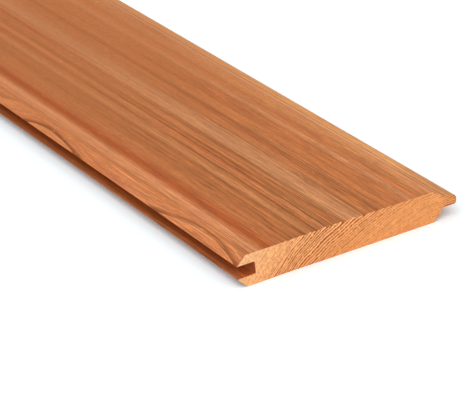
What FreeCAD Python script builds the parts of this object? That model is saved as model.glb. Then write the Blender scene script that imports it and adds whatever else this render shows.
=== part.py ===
"""Tongue-and-groove siding board of clear cedar, with a bevelled V-joint on both faces.

The board is one piece of wood, run through a moulder, so it is one body: its section is drawn once and
padded along the grain. X runs along the board, Y across it from the grooved edge to the tongue, and Z from
the back to the face. The origin is under the middle of the board, on the surface that it lies on.
Sizes are in millimetres.
"""
import FreeCAD, Part

import math
import os

import Sketcher

# Driving dimensions. Each is set by itself, and all other places are worked out from them.
SIZES = {
    "board_length": 1828.8,
    "board_thickness": 17.8,
    "cover_width": 129.0,
    "tongue_length": 7.5,
    "tongue_thickness": 5.7,
    "tongue_face_radius": 3.0,
    "tongue_back_radius": 1.6,
    "tongue_face_clearance": 0.1,
    "tongue_back_clearance": 1.0,
    "expansion_gap": 3.0,
    "groove_floor_lean": 0.9,
    "groove_flare": 0.3,
    "groove_corner_radius": 0.6,
    "lip_bevel": 5.0,
    "lip_land": 0.1,
    "shoulder_bevel_run": 8.4,
    "shoulder_bevel_drop": 4.6,
    "back_lip_land": 0.5,
    "back_lip_setback": 1.1,
    "back_shoulder_setback": 1.6,
    "face_arris_radius": 0.5,
    "back_lip_arris_radius": 5.0,
    "back_shoulder_arris_radius": 1.5,
}

# Places that follow from the driving dimensions, in the order in which they are worked out.
PLACES = {
    "overall_width": "=sizes.cover_width + sizes.tongue_length",
    "lip_top": "=sizes.board_thickness - sizes.lip_bevel",
    "groove_top": "=lip_top - sizes.lip_land",
    "tongue_top": "=groove_top - sizes.tongue_face_clearance",
    "tongue_bottom": "=tongue_top - sizes.tongue_thickness",
    "groove_bottom": "=tongue_bottom - sizes.tongue_back_clearance",
    "groove_depth": "=sizes.tongue_length + sizes.expansion_gap",
    "groove_floor": "=groove_depth + sizes.groove_floor_lean",
    "back_lip_top": "=groove_bottom - sizes.groove_flare",
    "back_bevel": "=back_lip_top - sizes.back_lip_land",
    "back_lip_corner": "=sizes.back_lip_setback + back_bevel",
    "back_shoulder": "=sizes.cover_width - sizes.back_shoulder_setback",
    "back_shoulder_corner": "=back_shoulder - back_bevel",
    "face_shoulder_root": "=sizes.board_thickness - sizes.shoulder_bevel_drop",
    "face_shoulder_corner": "=sizes.cover_width - sizes.shoulder_bevel_run",
}

# The section, corner by corner, from the lip over the groove round by the back, the tongue and the face.
# Each corner is its distance from the lip's edge and its height above the back.
SECTION = [
    ("0", "groove_top"),
    ("groove_depth", "groove_top"),
    ("groove_floor", "groove_bottom"),
    ("back_lip_setback", "back_lip_top"),
    ("back_lip_setback", "back_bevel"),
    ("back_lip_corner", "0"),
    ("back_shoulder_corner", "0"),
    ("back_shoulder", "back_bevel"),
    ("back_shoulder", "tongue_bottom"),
    ("overall_width", "tongue_bottom"),
    ("overall_width", "tongue_top"),
    ("cover_width", "tongue_top"),
    ("cover_width", "face_shoulder_root"),
    ("face_shoulder_corner", "board_thickness"),
    ("lip_bevel", "board_thickness"),
    ("0", "lip_top"),
]

# Long edges that the cutters leave rounded: the radius, and the corners of the section that it is on.
ROUNDED = {
    "tongue_face_radius": [("overall_width", "tongue_top")],
    "tongue_back_radius": [("overall_width", "tongue_bottom")],
    "groove_corner_radius": [("groove_depth", "groove_top"), ("groove_floor", "groove_bottom")],
    "face_arris_radius": [("face_shoulder_corner", "board_thickness"), ("lip_bevel", "board_thickness")],
    "back_lip_arris_radius": [("back_lip_corner", "0")],
    "back_shoulder_arris_radius": [("back_shoulder_corner", "0")],
}

NEAR = 1e-4


def make_sheet(doc, title, cells):
    """A spreadsheet that holds each of its cells under the cell's own name."""
    sheet = doc.addObject("Spreadsheet::Sheet", title)
    for row, (name, content) in enumerate(cells.items(), start=1):
        sheet.set(f"A{row}", name)
        sheet.set(f"B{row}", str(content))
        sheet.setAlias(f"B{row}", name)
    doc.recompute()


def sheet_of(name):
    """The title of the sheet that holds a size or a place."""
    return "sizes" if name in SIZES else "places"


def value_of(doc, name):
    """A size or a place as a plain number. The name 0 stands for the axis itself."""
    return 0.0 if name == "0" else float(doc.getObject(sheet_of(name)).get(name))


def draw_section(doc, sketch):
    """Draws the section as a closed outline and ties each corner to its two coordinates."""
    points = [FreeCAD.Vector(value_of(doc, y), value_of(doc, z), 0) for y, z in SECTION]
    count = len(points)
    for i in range(count):
        sketch.addGeometry(Part.LineSegment(points[i], points[(i + 1) % count]), False)
    for i in range(count):
        sketch.addConstraint(Sketcher.Constraint("Coincident", i, 2, (i + 1) % count, 1))
    for i, names in enumerate(SECTION):
        for kind, name in zip(("DistanceX", "DistanceY"), names):
            tie_corner(doc, sketch, i, kind, name)


def tie_corner(doc, sketch, line, kind, name):
    """Holds one coordinate of the start of a line at a size or a place, or on the axis."""
    if name == "0":
        axis = -2 if kind == "DistanceX" else -1
        sketch.addConstraint(Sketcher.Constraint("PointOnObject", line, 1, axis))
        return
    made = sketch.addConstraint(Sketcher.Constraint(kind, -1, 1, line, 1, value_of(doc, name)))
    sketch.setExpression(f"Constraints[{made}]", f"{sheet_of(name)}.{name}")


def cross_plane(body):
    """The body's own plane across the board, which the section is drawn on."""
    return next(f for f in body.Origin.OriginFeatures if f.Role == "YZ_Plane")


def long_edges(doc, shape, corners):
    """The names of the edges that run the board's whole length at the given corners of the section."""
    wanted = [(value_of(doc, y), value_of(doc, z)) for y, z in corners]
    found = []
    for number, edge in enumerate(shape.Edges, start=1):
        ends = [v.Point for v in edge.Vertexes]
        if len(ends) != 2 or abs(ends[0].x - ends[1].x) < NEAR:
            continue
        if any(all(math.hypot(p.y - y, p.z - z) < NEAR for p in ends) for y, z in wanted):
            found.append(f"Edge{number}")
    if len(found) != len(wanted):
        raise RuntimeError(f"{len(found)} long edges found at {corners}, and {len(wanted)} are wanted")
    return found


def round_edges(doc, body, base, radius, corners):
    """Rounds the long edges at some corners of the section, as one fillet feature."""
    fillet = body.newObject("PartDesign::Fillet", radius.replace("_radius", "_rounding"))
    fillet.Base = (base, long_edges(doc, base.Shape, corners))
    fillet.setExpression("Radius", f"sizes.{radius}")
    doc.recompute()
    return fillet


def make_board(doc):
    """The board: its section padded to both sides of the middle, then its edges rounded."""
    body = doc.addObject("PartDesign::Body", "siding_board")
    body.Label = "siding_board"
    sketch = body.newObject("Sketcher::SketchObject", "section")
    sketch.AttachmentSupport = [(cross_plane(body), "")]
    sketch.MapMode = "FlatFace"
    draw_section(doc, sketch)
    pad = body.newObject("PartDesign::Pad", "moulding")
    pad.Profile = sketch
    pad.Midplane = True
    pad.setExpression("Length", "sizes.board_length")
    doc.recompute()
    tip = pad
    for radius, corners in ROUNDED.items():
        tip = round_edges(doc, body, tip, radius, corners)
    body.Tip = tip
    body.setExpression("Placement.Base.y", "-places.overall_width / 2")
    doc.recompute()
    return body


def check(doc, parts):
    """Stops the build if an object failed or a part's shape isn't one valid solid."""
    for obj in doc.Objects:
        if any(word in obj.State for word in ("Invalid", "Error")):
            raise RuntimeError(f"{obj.Name} failed: {obj.State}")
    for part in parts:
        shape = part.Shape
        if shape.isNull() or not shape.isValid() or len(shape.Solids) != 1:
            raise RuntimeError(f"{part.Label} is not one valid solid")


def main():
    doc = FreeCAD.newDocument("cedar_siding_board")
    make_sheet(doc, "sizes", SIZES)
    make_sheet(doc, "places", PLACES)
    parts = [make_board(doc)]
    check(doc, parts)
    os.makedirs("parts", exist_ok=True)
    for part in parts:
        part.Shape.exportStep(f"parts/{part.Label}.step")
        box = part.Shape.BoundBox
        sides = " x ".join(f"{side:.2f}" for side in (box.XLength, box.YLength, box.ZLength))
        print(f"{part.Label}: {sides} mm, {part.Shape.Volume:.0f} mm3")


main()
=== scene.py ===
"""Looks of a tongue and groove siding board of clear cedar, on a white studio floor.

The board is one mesh, swept along the section that the frame gives and closed by a sawn surface at each
end. Its growth rings are one formula, written once: the mesh follows it with ridges of late wood, and the
materials with their colours. Lengths in this script are in millimetres until they go into Blender, apart
from those that are named METRES.
"""

import math
from collections import namedtuple

import bpy
import numpy as np
from mathutils import Matrix, Vector
from mathutils.geometry import delaunay_2d_cdt


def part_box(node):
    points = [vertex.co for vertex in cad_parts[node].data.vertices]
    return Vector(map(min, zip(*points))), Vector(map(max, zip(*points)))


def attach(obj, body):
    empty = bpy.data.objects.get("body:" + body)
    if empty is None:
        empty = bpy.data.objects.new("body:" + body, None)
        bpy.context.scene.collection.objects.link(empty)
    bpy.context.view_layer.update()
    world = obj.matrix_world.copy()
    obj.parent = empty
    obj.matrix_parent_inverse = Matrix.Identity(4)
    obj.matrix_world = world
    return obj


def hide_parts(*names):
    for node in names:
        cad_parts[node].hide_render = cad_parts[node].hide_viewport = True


MM = 0.001

# The photograph's camera, against the middle of the sawn end in front.
CAMERA_AZIMUTH = 55.081
CAMERA_ELEVATION = 27.389
CAMERA_DISTANCE = 1104.4
CAMERA_LENS = 169.7
SENSOR_WIDTH = 36.0
AIM_LEFT = 55.8
AIM_UP = 14.6
END_MIDDLE_HEIGHT = 8.75
CAMERA_REACH_METRES = (0.05, 200.0)

# The tree: its rings are wide arcs about a pith far below the board. They stand steeper near the grooved
# edge and level out in the tongue. Each of these two bends has what it adds to the radius for a millimetre
# across the board, where it starts, and how softly.
PITH_SIDE = 149.8
PITH_HEIGHT = -298.0
GROOVE_BEND = (0.42, -30.2, 6.0)
TONGUE_BEND = (0.28, 47.8, 5.0)
RING_WIDTH = 1.35

# Waves in the rings, each with its size, its length and its phase. The third number of RING_WAVES is by how
# much the phase turns with the radius. A kink has two lengths, across the board and up.
RING_STRETCHES = ((-1.56, 12.0, 2.0), (0.20, 2.3, 1.9))
PITH_SWAYS = ((2.0, 190.0, 0.3), (0.4, 57.0, 2.1))
RING_WAVES = ((0.05, 24.0, 0.31), (0.02, 9.0, 0.83))
RING_KINKS = ((0.24, 3.3, 4.1), (0.16, -2.3, 1.3), (0.07, 0.9, 1.7))
LIP_WAVES = ((1.0, 22.0, 5.6), (0.2, 13.0, 2.0))

# Where the lip begins across the board, and how softly.
LIP_START = -60.0
LIP_SOFTNESS = 2.0

# How slowly the late wood rises through a year's ring, how sharply it ends, and the phase by which each
# year's weight differs from the last one's.
LATE_RISE = 2.2
LATE_FALL = 20.0
WEIGHT_TURN = 2.399

# The mesh: how far its points lie apart, and the rows along the board next to each end.
SIDE_STEP = 0.62
ROW_STEP = 30.0
END_ROWS = (2.2, 3.2, 5.0, 8.5, 13.0, 20.0, 30.0)
FRONT_GRAIN = 0.33
REAR_GRAIN = 0.6
SHARP_TURN = 25.0
NEAR = 1e-3
PLACE_DIGITS = 4

# The points on a sawn end, in shares of their step: how far their rows are shifted, by turns, and how far
# they stay off the rim. Points closer together than the last length are one.
STAGGER = (0.25, 0.75)
RIM_GAP = 0.6
MERGE_DISTANCE = 1e-6

# Relief, always cut inwards: ridges on the planed faces, and on the sawn ends torn early wood, with chips
# below the face. The saw tore the rings most about one radius. The late wood there stands above the early
# wood by a share of the relief, at least LEAST_STAND.
RIDGE_HEIGHT = 0.035
SAW_RELIEF = 0.45
SAW_CHIP = 0.7
CHIP_REACH = 1.0
LEAST_STAND = 0.4
ROUGH_RADIUS = 355.5
ROUGH_SPREAD = 14.0

# The flat map of the faces, in shares of a square: the long sides as one strip, and the two sawn ends above.
STRIP_HEIGHT = 0.70
MAP_EDGE = 0.01
END_BASES = (0.72, 0.86)


def fade(value):
    """A number in sRGB, from 0 to 255, as linear light."""
    share = value / 255
    return share / 12.92 if share <= 0.04045 else ((share + 0.055) / 1.055) ** 2.4


def tone(red, green, blue):
    """A colour in sRGB as the linear colour that a node takes."""
    return (fade(red), fade(green), fade(blue), 1.0)


class Signal:
    """A number that varies over a surface: the output of Math nodes, written as a formula."""

    def __init__(self, tree, socket):
        self.tree = tree
        self.socket = socket

    def math(self, operation, *others):
        node = self.tree.nodes.new("ShaderNodeMath")
        node.operation = operation
        for place, value in zip(node.inputs, (self, *others)):
            feed(self.tree, value, place)
        return Signal(self.tree, node.outputs[0])

    def __add__(self, other):
        return self.math("ADD", other)

    def __sub__(self, other):
        return self.math("SUBTRACT", other)

    def __rsub__(self, other):
        return (self * -1.0).math("ADD", other)

    def __mul__(self, other):
        return self.math("MULTIPLY", other)

    def __truediv__(self, other):
        return self.math("DIVIDE", other)

    def __pow__(self, other):
        return self.math("POWER", other)

    __radd__ = __add__
    __rmul__ = __mul__


def feed(tree, value, place):
    """Gives an input of a node a signal, a socket or a plain value."""
    if isinstance(value, Signal):
        value = value.socket
    if isinstance(value, bpy.types.NodeSocket):
        tree.links.new(value, place)
    else:
        place.default_value = value


# Functions of a number or an array, or of a signal.


def sine(value):
    return value.math("SINE") if isinstance(value, Signal) else np.sin(value)


def root(value):
    return value.math("SQRT") if isinstance(value, Signal) else np.sqrt(value)


def whole(value):
    return value.math("FLOOR") if isinstance(value, Signal) else np.floor(value)


def power_of_e(value):
    return value.math("EXPONENT") if isinstance(value, Signal) else np.exp(value)


def logarithm(value):
    return value.math("LOGARITHM", math.e) if isinstance(value, Signal) else np.log(value)


# The growth rings. Each formula takes signals for the material and arrays for the mesh.


def bend(distance, steepness, softness):
    """Grows with the distance at a steepness, and is 0 where the distance is below 0, with a soft start."""
    return steepness * softness * logarithm(1.0 + power_of_e(distance / softness))


def near_lip(y):
    """1 at the lip and 0 further in, with a soft step."""
    return (1.0 + power_of_e((y - LIP_START) / LIP_SOFTNESS)) ** -1.0


def plain_radius(x, y, z):
    """The distance from the pith, which sways a little along the board, with the rings' two bends."""
    side = y - PITH_SIDE
    for size, length, phase in PITH_SWAYS:
        side = side + size * sine(x / length + phase)
    height = z - PITH_HEIGHT
    radius = root(side * side + height * height)
    steepness, start, softness = GROOVE_BEND
    radius = radius + bend(start - y, steepness, softness)
    steepness, start, softness = TONGUE_BEND
    return radius + bend(y - start, steepness, softness)


def ring_radius(x, y, z):
    """The distance from the pith with the rings' waves and kinks."""
    radius = plain_radius(x, y, z)
    waved = radius
    for size, length, phase in LIP_WAVES:
        waved = waved + size * near_lip(y) * sine(x / length + phase)
    for size, length, twist in RING_WAVES:
        waved = waved + size * sine(x / length + radius * twist)
    for size, across, up in RING_KINKS:
        waved = waved + size * sine(y / across + z / up)
    return waved


def ring_age(radius):
    """The number of rings up to a radius. Some years were wider than others."""
    age = radius / RING_WIDTH
    for size, length, phase in RING_STRETCHES:
        age = age + size * sine(radius / length + phase)
    return age


def late_wood(age):
    """From 0 in the early wood to about 1 in the dense line that ends each year's ring."""
    part = age - whole(age)
    return part**LATE_RISE * (1.0 - part**LATE_FALL)


def ring_weight(age):
    """How strongly a year's ring shows, from 0 to 1: each ring has its own, by its number."""
    return 0.5 + 0.5 * sine(whole(age) * WEIGHT_TURN)


def roughened(radius):
    """How much the saw tore the rings apart, from 0 to 1: most in the middle of the section."""
    off = (radius - ROUGH_RADIUS) / ROUGH_SPREAD
    return power_of_e(off * off * -1.0)


# The mesh.


def section_of(node):
    """The corners of the board's section, in order, read from the frame's own front end."""
    mesh = node.data
    points = np.array([vertex.co for vertex in mesh.vertices], float) / MM
    front = points[:, 0].max() - NEAR
    places = [tuple(np.round(point[1:], PLACE_DIGITS)) for point in points]
    followed = {}
    for face in mesh.polygons:
        corners = list(face.vertices)
        if all(points[i][0] > front for i in corners):
            for a, b in zip(corners, corners[1:] + corners[:1]):
                followed[places[a], places[b]] = True
    rim = {a: b for a, b in followed if (b, a) not in followed}
    start = min(rim)
    chain = [start]
    while rim[chain[-1]] != start:
        chain.append(rim[chain[-1]])
    return np.array(chain)


def turns_of(corners):
    """The angle in degrees by which the section turns at each corner."""
    after = np.roll(corners, -1, axis=0) - corners
    before = corners - np.roll(corners, 1, axis=0)
    cross = before[:, 0] * after[:, 1] - before[:, 1] * after[:, 0]
    dot = (before * after).sum(1)
    return np.degrees(np.arctan2(cross, dot))


def outline_of(corners):
    """The section's outline at even steps: places, inward directions, and which are sharp corners."""
    places, inward, sharp = [], [], []
    turns = turns_of(corners)
    count = len(corners)
    for i in range(count):
        here = corners[i]
        run = corners[(i + 1) % count] - here
        back = here - corners[i - 1]
        normal = np.array([-run[1], run[0]]) / np.hypot(*run)
        normal_back = np.array([-back[1], back[0]]) / np.hypot(*back)
        mitre = normal + normal_back
        steps = max(1, math.ceil(np.hypot(*run) / SIDE_STEP))
        for step in range(steps):
            places.append(here + run * step / steps)
            inward.append(mitre / np.hypot(*mitre) if step == 0 else normal)
            sharp.append(step == 0 and abs(turns[i]) > SHARP_TURN)
    return np.array(places), np.array(inward), np.array(sharp)


def rows_along(length):
    """Places along the board from the front to the rear, closer together near the ends."""
    half = length / 2
    inner = half - END_ROWS[-1]
    middle = np.linspace(inner, -inner, round(2 * inner / ROW_STEP) + 1)[1:-1]
    ends = [half - row for row in END_ROWS]
    return np.array([half, *ends, *middle, *(-place for place in reversed(ends)), -half])


def face_relief(x, y, z):
    """How deep the planed faces lie: the early wood has sunk a little between the ridges of late wood."""
    age = ring_age(ring_radius(x, y, z))
    return RIDGE_HEIGHT * (1.0 - late_wood(age) * ring_weight(age))


def end_relief(x, y, z, top):
    """How deep a sawn end lies: torn early wood, and chips out of the edge below the face."""
    radius = ring_radius(x, y, z)
    age = ring_age(radius)
    early = 1.0 - late_wood(age) * (LEAST_STAND + (1.0 - LEAST_STAND) * ring_weight(age))
    edge = np.exp((z - top) / CHIP_REACH)
    return early * roughened(radius) * (SAW_RELIEF + SAW_CHIP * edge * ring_weight(age + 1.0))


def inside(points, outline):
    """Which points lie within the outline."""
    found = np.zeros(len(points), bool)
    for a, b in zip(outline, np.roll(outline, -1, axis=0)):
        crosses = (a[1] > points[:, 1]) != (b[1] > points[:, 1])
        rise = (b[1] - a[1]) or NEAR
        reach = a[0] + (points[:, 1] - a[1]) * (b[0] - a[0]) / rise
        found ^= crosses & (points[:, 0] < reach)
    return found


def off_outline(points, outline, gap):
    """Which points are more than a gap away from all points of the outline."""
    clear = np.ones(len(points), bool)
    for place in outline:
        clear &= ((points - place) ** 2).sum(1) > gap * gap
    return clear


def fill_section(outline, step):
    """Points over the whole section at a step, in staggered rows, and the triangles between them."""
    low, high = outline.min(0), outline.max(0)
    rise = step * math.sqrt(3) / 2
    grid = []
    for row, height in enumerate(np.arange(low[1] + rise / 2, high[1], rise)):
        shift = step * STAGGER[row % 2]
        grid += [(side, height) for side in np.arange(low[0] + shift, high[0], step)]
    grid = np.array(grid)
    grid = grid[inside(grid, outline)]
    grid = grid[off_outline(grid, outline, step * RIM_GAP)]
    count = len(outline)
    rim = [(i, (i + 1) % count) for i in range(count)]
    points = np.vstack([outline, grid])
    found = delaunay_2d_cdt([Vector(point) for point in points], rim, [], 1, MERGE_DISTANCE)
    return np.array([tuple(point) for point in found[0]]), np.array(found[2]), found[3]


def end_cap(x, outline, ring, step, sign, top, first):
    """One sawn end. Its outer points are the sides' own ring there, and its inner ones are new."""
    flat, faces, origins = fill_section(outline, step)
    number = np.empty(len(flat), int)
    added = []
    for i, came_from in enumerate(origins):
        on_rim = [origin for origin in came_from if origin < len(outline)]
        if on_rim:
            number[i] = ring[on_rim[0]]
        else:
            number[i] = first + len(added)
            added.append(i)
    inner = flat[added]
    depth = end_relief(x, inner[:, 0], inner[:, 1], top)
    points = np.column_stack([x - sign * depth, inner])
    corners = number[faces]
    return points, corners if sign > 0 else corners[:, ::-1]


def board_mesh(node):
    """The board's points and faces: the sides as a grid along the board, and both sawn ends."""
    low, high = (np.array(corner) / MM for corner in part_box("siding_board"))
    outline, inward, sharp = outline_of(section_of(node))
    rows = rows_along(high[0] - low[0])
    count = len(outline)
    sides = []
    for x in rows:
        depth = face_relief(x, outline[:, 0], outline[:, 1])
        ring = outline + inward * depth[:, None]
        place = np.full(count, x)
        if abs(x) > rows[0] - NEAR:
            place = x - np.sign(x) * end_relief(x, outline[:, 0], outline[:, 1], high[2])
        sides.append(np.column_stack([place, ring]))
    quads = []
    for row in range(len(rows) - 1):
        here = row * count + np.arange(count)
        there = row * count + (np.arange(count) + 1) % count
        quads.append(np.column_stack([here, here + count, there + count, there]))
    quads = np.vstack(quads)
    total = len(rows) * count
    ring = np.arange(count)
    front, front_faces = end_cap(rows[0], outline, ring, FRONT_GRAIN, 1, high[2], total)
    total += len(front)
    ring = ring + (len(rows) - 1) * count
    rear, rear_faces = end_cap(rows[-1], outline, ring, REAR_GRAIN, -1, high[2], total)
    points = np.vstack([*sides, front, rear])
    return points, quads, front_faces, rear_faces, sharp, outline, rows


def flat_map(points, quads, front_faces, rear_faces, outline, rows):
    """Where each corner of each face lies on the flat map."""
    run = np.hypot(*(np.roll(outline, -1, axis=0) - outline).T)
    up = np.concatenate([[0.0], np.cumsum(run)])
    up = MAP_EDGE + up / up[-1] * (STRIP_HEIGHT - MAP_EDGE)
    along = MAP_EDGE + (rows[0] - rows) / (rows[0] - rows[-1]) * (1.0 - 2.0 * MAP_EDGE)
    count = len(outline)
    row, column = np.divmod(np.arange(len(quads)), count)
    left, right = along[row], along[row + 1]
    below, above = up[column], up[column + 1]
    corners = [(left, below), (right, below), (right, above), (left, above)]
    places = [np.stack([np.column_stack(corner) for corner in corners], 1).reshape(-1, 2)]
    low, high = outline.min(0), outline.max(0)
    scale = (1.0 - 2.0 * MAP_EDGE) / (high[0] - low[0])
    for base, faces in zip(END_BASES, (front_faces, rear_faces)):
        section = (points[faces.ravel(), 1:] - low) * scale
        places.append(section + (MAP_EDGE, base))
    return np.vstack(places)


def make_board(node, materials):
    """The board as one object. The materials are those of the planed faces and of the sawn ends."""
    points, quads, front_faces, rear_faces, sharp, outline, rows = board_mesh(node)
    triangles = np.vstack([front_faces, rear_faces])
    mesh = bpy.data.meshes.new("cedar_board")
    mesh.from_pydata((points * MM).tolist(), [], quads.tolist() + triangles.tolist())
    mesh.update()
    count = len(outline)
    ends = np.zeros(len(mesh.polygons), np.int32)
    ends[len(quads):] = 1
    for material in materials:
        mesh.materials.append(material)
    mesh.polygons.foreach_set("material_index", ends)
    mesh.shade_smooth()
    mark_sharp(mesh, sharp, count, len(rows))
    places = flat_map(points, quads, front_faces, rear_faces, outline, rows)
    mesh.uv_layers.new(name="OFBake").data.foreach_set("uv", places.astype(np.float32).ravel())
    board = bpy.data.objects.new("cedar_board", mesh)
    bpy.context.scene.collection.objects.link(board)
    return board


def mark_sharp(mesh, sharp, count, row_count):
    """Keeps the long corners and the edges of the sawn ends crisp."""
    pairs = np.empty(len(mesh.edges) * 2, np.int32)
    mesh.edges.foreach_get("vertices", pairs)
    pairs = pairs.reshape(-1, 2)
    on_side = (pairs < row_count * count).all(1)
    row = pairs // count
    column = pairs % count
    along = on_side & (column[:, 0] == column[:, 1]) & sharp[column[:, 0]]
    at_end = on_side & (row[:, 0] == row[:, 1]) & np.isin(row[:, 0], (0, row_count - 1))
    flags = mesh.attributes.new("sharp_edge", "BOOLEAN", "EDGE")
    flags.data.foreach_set("value", along | at_end)


# The materials.

BROWN = tone(183, 105, 57)
DULL = tone(171, 97, 50)
ROSY = tone(176, 91, 44)
RED = tone(164, 76, 32)
GOLD = tone(196, 115, 66)
SAND = tone(190, 120, 71)
PALE = tone(210, 133, 85)
ROSE = tone(216, 122, 82)
TAN = tone(195, 127, 82)
STRAW = tone(236, 160, 94)
WHEAT = tone(224, 154, 96)
# Painted shade: the darker, redder colour of the groove's inside and the lip under it, standing for shade
# and warm bounced light.
GROOVE_SHADE_TONE = tone(166, 76, 28)
DULL_LINE = tone(150, 88, 52)
DARK_LINE = tone(98, 44, 16)
FIGURE = tone(142, 74, 38)
# Pale grain lines for the glints, and painted highlights for the planer's chatter marks.
PALE_LINE_AND_HIGHLIGHT = tone(218, 148, 92)

# Bands of colour by their distance from the lip's edge on the face, from the lip towards the tongue.
BANDS = (
    (0.0, ROSE),
    (6.0, GOLD),
    (11.0, PALE),
    (13.0, PALE),
    (16.0, ROSY),
    (18.5, RED),
    (21.0, ROSY),
    (24.5, BROWN),
    (28.0, BROWN),
    (33.0, DULL),
    (40.0, DULL),
    (43.5, SAND),
    (47.0, DULL),
    (53.0, GOLD),
    (56.5, DULL),
    (63.0, BROWN),
    (66.5, TAN),
    (73.5, TAN),
    (79.0, BROWN),
    (86.0, DULL),
    (90.0, BROWN),
    (103.0, BROWN),
    (106.0, TAN),
    (109.0, GOLD),
    (112.0, BROWN),
    (116.0, SAND),
)

# The bands that follow them down the bevel to the tongue, by the distance from the lip's edge and the height
# above the back.
DEEP_BANDS = (
    (122.0, 17.0, PALE),
    (125.0, 15.4, STRAW),
    (127.4, 14.1, STRAW),
    (128.3, 13.6, DULL),
    (129.0, 13.1, DULL),
    (130.5, 12.6, WHEAT),
)

# Years that ended in an extra dark line, by their distance from the lip's edge on the face at the front end.
# Then come how wide those lines are, how much they cover, and how much of the bands' drift they follow.
DARK_YEARS = (33.4, 39.8, 54.2, 62.9, 85.9)
DARK_YEAR_WIDTH = 0.2
DARK_YEAR_COVER = 0.36
DARK_YEAR_DRIFT = 0.4

END_OUTER = tone(255, 197, 148)
END_PALE = tone(255, 185, 126)
END_SOFT = tone(252, 175, 114)
END_MIDDLE = tone(224, 138, 78)
END_INNER = tone(226, 142, 82)
END_DEEP = tone(233, 151, 88)
END_BLOTCH = tone(226, 166, 100)
END_SPECK = tone(222, 132, 76)
END_TONGUE = tone(198, 115, 56)
# Dark late wood on the sawn ends, partly painted shade beside the torn ridges.
END_DARK = tone(168, 72, 18)
# Painted highlight on the lit side of the torn rings.
END_PAINTED_HIGHLIGHT = tone(255, 198, 138)

# The sawn ends' tones by their distance from the pith.
END_TONES = (
    (402.0, END_OUTER),
    (378.0, END_PALE),
    (366.0, END_SOFT),
    (359.0, END_MIDDLE),
    (351.0, END_MIDDLE),
    (342.0, END_INNER),
    (333.0, END_DEEP),
)

# Patterns in the wood. Each has features of some length along the board, and of some width in two directions
# across it. Then come its detail and its roughness, and a shift that keeps it apart from the others.
Pattern = namedtuple("Pattern", "along across around detail roughness shift")
DRIFT = Pattern(600.0, 3.0, 30.0, 1.0, 0.5, 0.0)
HUE = Pattern(170.0, 1.5, 12.0, 3.0, 0.6, 3.0)
STREAK = Pattern(190.0, 0.34, 9.0, 4.0, 0.8, 11.0)
GLINT = Pattern(150.0, 0.28, 7.0, 2.0, 0.5, 7.0)
FIBRE = Pattern(14.0, 0.5, 0.5, 2.0, 0.6, 5.0)
FLECK = Pattern(2.5, 0.6, 0.6, 2.0, 0.5, 0.0)
# Small marks of the planer's chatter, painted as highlights.
CHATTER_HIGHLIGHT = Pattern(4.0, 1.1, 1.1, 1.0, 0.5, 31.0)
PATCH = Pattern(5.0, 5.0, 4.0, 2.0, 0.5, 0.0)
SPECK = Pattern(0.8, 0.8, 0.8, 3.0, 0.7, 0.0)
DASH = Pattern(2.0, 1.4, 1.4, 2.0, 0.5, 0.0)

# The direction around the rings, as shares of the ways across the board and up.
AROUND_SIDE = 0.85
AROUND_UP = 0.52

# The radii at the two ends of a ramp of colours.
INNER_RADIUS = 312.0
OUTER_RADIUS = 414.0

# A layer of colour: its tone, how much it can cover of what lies under it, and between which two values of
# its pattern, or between which two places, it fades in.
Layer = namedtuple("Layer", "tone cover start end")
BLAND = Layer(BROWN, 0.45, -46.0, -40.0)
INNERMOST = Layer(BROWN, 0.75, 326.0, 320.0)
REDDER = Layer(RED, 0.5, 0.0, 0.25)
GOLDEN = Layer(GOLD, 0.4, 0.0, -0.25)
RING_LINES = Layer(DARK_LINE, 1.1, -0.2, 0.1)
# Painted shade over the groove's inside.
PAINTED_GROOVE_SHADE = Layer(GROOVE_SHADE_TONE, 0.65, -56.0, -62.0)
GLINTS = Layer(PALE_LINE_AND_HIGHLIGHT, 0.5, 0.03, 0.22)
# Painted highlights where the planer's chatter catches the light.
PAINTED_CHATTER_HIGHLIGHTS = Layer(PALE_LINE_AND_HIGHLIGHT, 0.4, 0.2, 0.27)
TONGUE_END = Layer(END_TONGUE, 0.75, 57.0, 63.0)
BLOTCHES = Layer(END_BLOTCH, 0.35, 0.08, 0.25)
END_LINES = Layer(END_DARK, 1.0, -0.2, 0.1)
SPECKS = Layer(END_SPECK, 0.4, 0.0, -0.2)

# The heights at which the painted shade of the groove's inside fades in, down from its top and up from its
# bottom.
GROOVE_SHADE_TOP = (12.9, 12.7)
GROOVE_SHADE_BOTTOM = (4.4, 5.2)

# How crisp the grain is, in slow waves along the board. Where it is less crisp, the bland layer covers more.
CRISP_LEVEL = 0.8
CRISP_SWING = 0.57
CRISP_LENGTH = 88.0
CRISP_PHASE = -2.4
BLAND_LEVEL = 1.3

# How vivid the lines are and how mottled the colour is: everywhere, and what rough rings and the lip add.
VIVID_LEVEL = 0.25
VIVID_ROUGH = 0.95
VIVID_LIP = 0.3
MOTTLE_LEVEL = 0.75
MOTTLE_ROUGH = 0.45

# How sharply a ring's dark line stands out of its ring, as a power of the late wood.
LINE_POWER = 1.5
FIGURE_POWER = 2.0
END_LINE_POWER = 0.75

# How much the figure on the lip covers, and what a year's weight adds.
FIGURE_LEVEL = 0.5
FIGURE_WEIGHT = 3.0

# The dull lines on the bevel to the tongue: from where to where they fade in, across the board and along it,
# and how much they cover everywhere, in late wood, and by a year's weight.
SHOULDER_SIDE = (52.0, 53.0)
SHOULDER_FRONT = (868.0, 890.0)
SHOULDER_LEVEL = 0.2
SHOULDER_LATE = 0.4
SHOULDER_WEIGHT = 0.8

# The planed faces' shade, and how much the patterns lighten and darken it.
PLANED_SHADE = 0.92
CRISP_SHADE = 0.065
STREAK_SHADE = 1.8
FIBRE_SHADE = 1.25
FLECK_SHADE = 0.5

# The planed faces' bumps in millimetres, their roughness and their gloss.
FIBRE_BUMP = 0.10
STREAK_BUMP = 0.10
LATE_BUMP = 0.03
PLANED_ROUGHNESS = 0.6
FIBRE_ROUGHNESS = 0.3
STREAK_ROUGHNESS = 0.2
PLANED_GLOSS = 0.08

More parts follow.
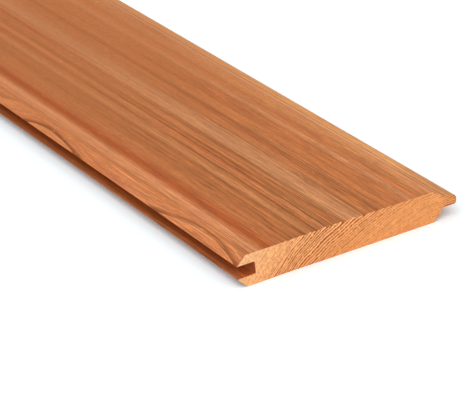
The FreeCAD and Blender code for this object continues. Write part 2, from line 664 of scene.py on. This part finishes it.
# How much the rings stand out on the sawn ends: everywhere, where they are torn, in the tongue, and near the
# groove, which begins between two places across the board.
END_CONTRAST = 0.4
TORN_CONTRAST = 0.8
TONGUE_CONTRAST = 0.3
GROOVE_CONTRAST = 0.1
GROOVE_SIDE = (-34.0, -46.0)

# The dark lines on the sawn ends, late wood with painted shade of its torn ridges: how much they cover, and
# what a year's weight adds.
# A painted highlight for the lit side of each ridge follows each of them, further out by a share of a ring's
# width.
END_LINE_LEVEL = 0.9
END_LINE_WEIGHT = 1.2
HIGHLIGHT_SHIFT = 0.25
HIGHLIGHT_COVER = 1.3

# The sawn ends' shade, their bumps in millimetres, their roughness and their gloss. The patches also shift
# the tones, by a radius.
PATCH_SHIFT = 10.0
END_SHADE = 1.03
SPECK_SHADE = 0.55
PATCH_SHADE = 0.35
SPECK_BUMP = 0.25
RING_BUMP = 0.12
END_ROUGHNESS = 0.8
SPECK_ROUGHNESS = 0.2
END_GLOSS = 0.05

# Where a Mix node has its factor and its two colours among its inputs, and its colour among its outputs.
MIX_INPUTS = (0, 6, 7)
MIX_OUTPUT = 2


def mixed(tree, factor, first, second):
    """The first colour where the factor is 0, and the second where it is 1."""
    made = tree.nodes.new("ShaderNodeMix")
    made.data_type = "RGBA"
    for place, value in zip(MIX_INPUTS, (factor, first, second)):
        feed(tree, value, made.inputs[place])
    return made.outputs[MIX_OUTPUT]


class Graph:
    """A material's nodes, with short names for those that this script uses."""

    def __init__(self, name):
        self.material = bpy.data.materials.new(name)
        self.material.use_nodes = True
        self.tree = self.material.node_tree
        self.shader = self.tree.nodes["Principled BSDF"]

    def node(self, kind, **inputs):
        made = self.tree.nodes.new(kind)
        for name, value in inputs.items():
            feed(self.tree, value, made.inputs[name.replace("_", " ").title()])
        return made

    def place(self):
        """Where a point of the board lies, in millimetres along, across and up."""
        found = self.tree.nodes.new("ShaderNodeTexCoord").outputs["Object"]
        parts = self.node("ShaderNodeSeparateXYZ", vector=found).outputs
        return [Signal(self.tree, part) / MM for part in parts]

    def grain(self, pattern, x, y, z):
        """A pattern as a signal about 0, from three coordinates in millimetres."""
        vector = self.tree.nodes.new("ShaderNodeCombineXYZ")
        feed(self.tree, x / pattern.along + pattern.shift, vector.inputs[0])
        feed(self.tree, y / pattern.across, vector.inputs[1])
        feed(self.tree, z / pattern.around, vector.inputs[2])
        made = self.node("ShaderNodeTexNoise", vector=vector.outputs[0], scale=1.0)
        made.inputs["Detail"].default_value = pattern.detail
        made.inputs["Roughness"].default_value = pattern.roughness
        return Signal(self.tree, made.outputs[0]) - 0.5

    def ramp(self, factor, stops):
        made = self.tree.nodes.new("ShaderNodeValToRGB")
        ramp = made.color_ramp
        stops = sorted(stops, key=lambda stop: stop[0])
        ramp.elements[0].position, ramp.elements[0].color = stops[0]
        ramp.elements[1].position, ramp.elements[1].color = stops[-1]
        for position, colour in stops[1:-1]:
            ramp.elements.new(position).color = colour
        feed(self.tree, factor, made.inputs[0])
        return made.outputs[0]

    def mix(self, factor, first, second):
        return mixed(self.tree, factor, first, second)

    def layered(self, colour, layer, value, strength=1.0):
        """The colour with a layer over it, as far as the layer's own fade and a strength let it show."""
        cover = self.smooth(value, layer.start, layer.end) * layer.cover * strength
        return self.mix(cover, colour, layer.tone)

    def scaled(self, colour, factor):
        made = self.tree.nodes.new("ShaderNodeVectorMath")
        made.operation = "SCALE"
        feed(self.tree, colour, made.inputs[0])
        feed(self.tree, factor, made.inputs["Scale"])
        return made.outputs[0]

    def smooth(self, value, start, end):
        """From 0 before the start to 1 past the end, with soft ends. The end may be lower than the start."""
        made = self.tree.nodes.new("ShaderNodeMapRange")
        made.interpolation_type = "SMOOTHSTEP"
        feed(self.tree, value, made.inputs["Value"])
        made.inputs["From Min"].default_value = start
        made.inputs["From Max"].default_value = end
        return Signal(self.tree, made.outputs[0])

    def finish(self, colour, roughness, height, gloss):
        """Fills the shader: its colour, its roughness, bumps with a height in millimetres, and its gloss."""
        feed(self.tree, colour, self.shader.inputs["Base Color"])
        feed(self.tree, roughness, self.shader.inputs["Roughness"])
        self.shader.inputs["Specular IOR Level"].default_value = gloss
        bump = self.node("ShaderNodeBump", height=height, distance=MM, strength=1.0)
        self.tree.links.new(bump.outputs[0], self.shader.inputs["Normal"])
        return self.material


def share_of(radius):
    """A radius as a place on a ramp, from 0 to 1."""
    return (radius - INNER_RADIUS) / (OUTER_RADIUS - INNER_RADIUS)


def band_stops(low, high):
    """The bands as stops of a ramp, each at its own place on the face or the bevel at the front end."""
    stops = []
    for distance, colour in BANDS:
        radius = plain_radius(high.x / MM, low.y / MM + distance, high.z / MM)
        stops.append((float(share_of(radius)), colour))
    for distance, height, colour in DEEP_BANDS:
        radius = plain_radius(high.x / MM, low.y / MM + distance, low.z / MM + height)
        stops.append((float(share_of(radius)), colour))
    return stops


def year_lines(low, high, radius):
    """1 on the years that ended in an extra dark line, and 0 between them."""
    total = 0.0
    for distance in DARK_YEARS:
        place = plain_radius(high.x / MM, low.y / MM + distance, high.z / MM)
        off = (radius - float(place)) / DARK_YEAR_WIDTH
        total = total + power_of_e(off * off * -1.0)
    return total


def planed_cedar(low, high):
    """The planed faces: bands of heartwood colour, thin dark ring lines and fine straight fibres, with
    painted shade in the groove and small painted highlights.
    """
    graph = Graph("planed_cedar")
    x, y, z = graph.place()
    plain = plain_radius(x, y, z)
    radius = ring_radius(x, y, z)
    age = ring_age(radius)
    late = late_wood(age)
    weight = ring_weight(age)
    rough = roughened(radius)
    around = y * AROUND_SIDE + z * AROUND_UP
    drift = graph.grain(DRIFT, x, radius, around)
    hue = graph.grain(HUE, x, radius, around)
    streak = graph.grain(STREAK, x, radius, around)
    glint = graph.grain(GLINT, x, radius, around)
    fibre = graph.grain(FIBRE, x, y, z)
    fleck = graph.grain(FLECK, x, y, z)
    chatter_highlight = graph.grain(CHATTER_HIGHLIGHT, x, y, z)
    crisp = CRISP_LEVEL + CRISP_SWING * sine(x / CRISP_LENGTH + CRISP_PHASE)
    vivid = (VIVID_LEVEL + VIVID_ROUGH * rough + VIVID_LIP * near_lip(y)) * crisp
    mottle = MOTTLE_LEVEL + MOTTLE_ROUGH * rough
    colour = graph.ramp(share_of(plain + drift), band_stops(low, high))
    colour = graph.layered(colour, BLAND, y, BLAND_LEVEL - crisp)
    colour = graph.layered(colour, INNERMOST, plain + drift)
    colour = graph.layered(colour, REDDER, hue, mottle)
    colour = graph.layered(colour, GOLDEN, hue, mottle)
    colour = graph.layered(colour, RING_LINES, streak, late**LINE_POWER * weight * vivid)
    marked = year_lines(low, high, plain + drift * DARK_YEAR_DRIFT)
    colour = graph.mix(marked * crisp * DARK_YEAR_COVER, colour, DARK_LINE)
    figure = late**FIGURE_POWER * (FIGURE_LEVEL + FIGURE_WEIGHT * weight * weight)
    colour = graph.mix(figure * near_lip(y), colour, FIGURE)
    shoulder = graph.smooth(y, *SHOULDER_SIDE) * graph.smooth(x, *SHOULDER_FRONT)
    lined = SHOULDER_LEVEL + late * (SHOULDER_LATE + SHOULDER_WEIGHT * weight)
    colour = graph.mix(shoulder * lined, colour, DULL_LINE)
    # Painted shade inside the groove and on the lip under it, between two heights.
    level = graph.smooth(z, *GROOVE_SHADE_TOP) * graph.smooth(z, *GROOVE_SHADE_BOTTOM)
    colour = graph.layered(colour, PAINTED_GROOVE_SHADE, y, level)
    colour = graph.layered(colour, GLINTS, glint, vivid)
    # Painted highlights: small pale marks of the planer's chatter.
    colour = graph.layered(colour, PAINTED_CHATTER_HIGHLIGHTS, chatter_highlight)
    shade = 1.0 + streak * vivid * STREAK_SHADE + fibre * crisp * FIBRE_SHADE + fleck * FLECK_SHADE
    colour = graph.scaled(colour, shade * (PLANED_SHADE + CRISP_SHADE * crisp))
    height = fibre * FIBRE_BUMP + streak * STREAK_BUMP + late * LATE_BUMP
    roughness = PLANED_ROUGHNESS + fibre * FIBRE_ROUGHNESS + streak * STREAK_ROUGHNESS
    return graph.finish(colour, roughness, height, PLANED_GLOSS)


def sawn_cedar():
    """The sawn ends: rings of torn early wood and dark late wood, with painted highlights and painted shade
    on the torn ridges, and the saw's fine speckle.
    """
    graph = Graph("sawn_cedar")
    x, y, z = graph.place()
    radius = ring_radius(x, y, z)
    age = ring_age(radius)
    late = late_wood(age)
    patch = graph.grain(PATCH, x, y, z)
    speck = graph.grain(SPECK, x, y, z)
    dash = graph.grain(DASH, x, y, z)
    contrast = END_CONTRAST + TORN_CONTRAST * roughened(radius)
    contrast = contrast + TONGUE_CONTRAST * graph.smooth(y, TONGUE_END.start, TONGUE_END.end)
    contrast = contrast + GROOVE_CONTRAST * graph.smooth(y, *GROOVE_SIDE)
    stops = [(share_of(place), colour) for place, colour in END_TONES]
    colour = graph.ramp(share_of(radius + patch * PATCH_SHIFT), stops)
    colour = graph.layered(colour, TONGUE_END, y)
    colour = graph.layered(colour, BLOTCHES, patch)
    # Painted highlight: a bright line just outside each ring's late wood, for the lit side of its ridge.
    colour = graph.mix(late_wood(age - HIGHLIGHT_SHIFT) * contrast * HIGHLIGHT_COVER, colour, END_PAINTED_HIGHLIGHT)
    # Dark late-wood lines, partly painted shade: they grow stronger where the saw tore the rings into
    # ridges.
    line = late**END_LINE_POWER * contrast * (END_LINE_LEVEL + END_LINE_WEIGHT * ring_weight(age))
    colour = graph.layered(colour, END_LINES, dash, line)
    colour = graph.layered(colour, SPECKS, speck)
    colour = graph.scaled(colour, END_SHADE + speck * SPECK_SHADE + patch * PATCH_SHADE)
    height = speck * SPECK_BUMP - late * contrast * RING_BUMP
    roughness = END_ROUGHNESS + speck * SPECK_ROUGHNESS
    return graph.finish(colour, roughness, height, END_GLOSS)


# The studio.

FLOOR_REACH_METRES = 80.0
FLOOR_BOUNCE = 0.75
WORLD_LIGHT = 0.50
WORLD_TINT = (0.95, 1.0, 1.04, 1.0)
WHITE = (1.0, 1.0, 1.0, 1.0)

# The lamps: strength, tint, how wide the lamp looks in degrees, and where it stands.
Lamp = namedtuple("Lamp", "light tint softness azimuth elevation")
KEY = Lamp(1.90, (1.05, 0.99, 0.96), 78.0, 67.0, 48.0)
FILL = Lamp(1.15, (0.54, 0.98, 1.15), 80.0, -10.0, 38.0)


def seen_directly(tree):
    """1 for what the camera sees, directly or in a gloss or through glass, and 0 for light on the object."""
    path = tree.nodes.new("ShaderNodeLightPath").outputs
    seen = Signal(tree, path["Is Camera Ray"]) + path["Is Glossy Ray"] + path["Is Transmission Ray"]
    return seen.math("MINIMUM", 1.0)


def make_floor():
    """A white floor. It throws back a little less light than it shows, so that it tints nothing."""
    mesh = bpy.data.meshes.new("floor")
    reach = FLOOR_REACH_METRES
    corners = [(-reach, -reach, 0), (reach, -reach, 0), (reach, reach, 0), (-reach, reach, 0)]
    mesh.from_pydata(corners, [], [(0, 1, 2, 3)])
    floor = bpy.data.objects.new("floor", mesh)
    bpy.context.scene.collection.objects.link(floor)
    material = bpy.data.materials.new("floor_white")
    material.use_nodes = True
    tree = material.node_tree
    tree.nodes.remove(tree.nodes["Principled BSDF"])
    diffuse = tree.nodes.new("ShaderNodeBsdfDiffuse")
    white = tree.nodes.new("ShaderNodeCombineColor")
    level = FLOOR_BOUNCE + (1.0 - FLOOR_BOUNCE) * seen_directly(tree)
    for place in white.inputs:
        feed(tree, level, place)
    tree.links.new(white.outputs[0], diffuse.inputs["Color"])
    tree.links.new(diffuse.outputs[0], tree.nodes["Material Output"].inputs["Surface"])
    mesh.materials.append(material)


def make_world():
    """Even light from all sides, a little cool, and a white that the camera sees behind everything."""
    world = bpy.data.worlds.new("studio")
    world.use_nodes = True
    tree = world.node_tree
    seen = seen_directly(tree)
    strength = WORLD_LIGHT + (1.0 - WORLD_LIGHT) * seen
    background = tree.nodes["Background"]
    tree.links.new(mixed(tree, seen, WORLD_TINT, WHITE), background.inputs["Color"])
    feed(tree, strength, background.inputs["Strength"])
    bpy.context.scene.world = world


def direction(azimuth, elevation):
    """The direction towards a place seen from the object: azimuth 0 is -Y and 90 is +X."""
    turn = math.radians(azimuth)
    rise = math.radians(elevation)
    return Vector((math.sin(turn) * math.cos(rise), -math.cos(turn) * math.cos(rise), math.sin(rise)))


def make_lamp(name, kind):
    """A broad, soft lamp that lights all of the board alike."""
    lamp = bpy.data.lights.new(name, "SUN")
    lamp.energy = kind.light
    lamp.color = kind.tint
    lamp.angle = math.radians(kind.softness)
    holder = bpy.data.objects.new(name, lamp)
    holder.rotation_mode = "QUATERNION"
    holder.rotation_quaternion = direction(kind.azimuth, kind.elevation).to_track_quat("Z", "Y")
    bpy.context.scene.collection.objects.link(holder)


def make_camera(high):
    """The photograph's camera."""
    back = direction(CAMERA_AZIMUTH, CAMERA_ELEVATION)
    azimuth = math.radians(CAMERA_AZIMUTH)
    right = Vector((math.cos(azimuth), math.sin(azimuth), 0.0))
    up = back.cross(right)
    end = Vector((high.x / MM, 0.0, END_MIDDLE_HEIGHT))
    aim = end - AIM_LEFT * right + AIM_UP * up
    lens = bpy.data.cameras.new("camera")
    lens.sensor_width = SENSOR_WIDTH
    lens.lens = CAMERA_LENS
    lens.clip_start, lens.clip_end = CAMERA_REACH_METRES
    camera = bpy.data.objects.new("camera", lens)
    turn = Matrix((right, up, back)).transposed().to_4x4()
    camera.matrix_world = Matrix.Translation((aim + CAMERA_DISTANCE * back) * MM) @ turn
    bpy.context.scene.collection.objects.link(camera)
    bpy.context.scene.camera = camera


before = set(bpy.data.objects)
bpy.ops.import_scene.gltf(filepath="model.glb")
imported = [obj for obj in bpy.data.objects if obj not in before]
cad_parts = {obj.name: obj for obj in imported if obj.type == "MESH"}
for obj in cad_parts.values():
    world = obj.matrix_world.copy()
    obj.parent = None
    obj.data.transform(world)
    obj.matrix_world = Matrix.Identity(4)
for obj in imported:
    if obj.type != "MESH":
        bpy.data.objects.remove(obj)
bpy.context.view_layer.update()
low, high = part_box("siding_board")
board = make_board(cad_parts["siding_board"], [planed_cedar(low, high), sawn_cedar()])
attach(board, "root")
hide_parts("siding_board")
make_floor()
make_world()
make_lamp("key", KEY)
make_lamp("fill", FILL)
make_camera(high)
bpy.context.scene.view_settings.view_transform = "Standard"
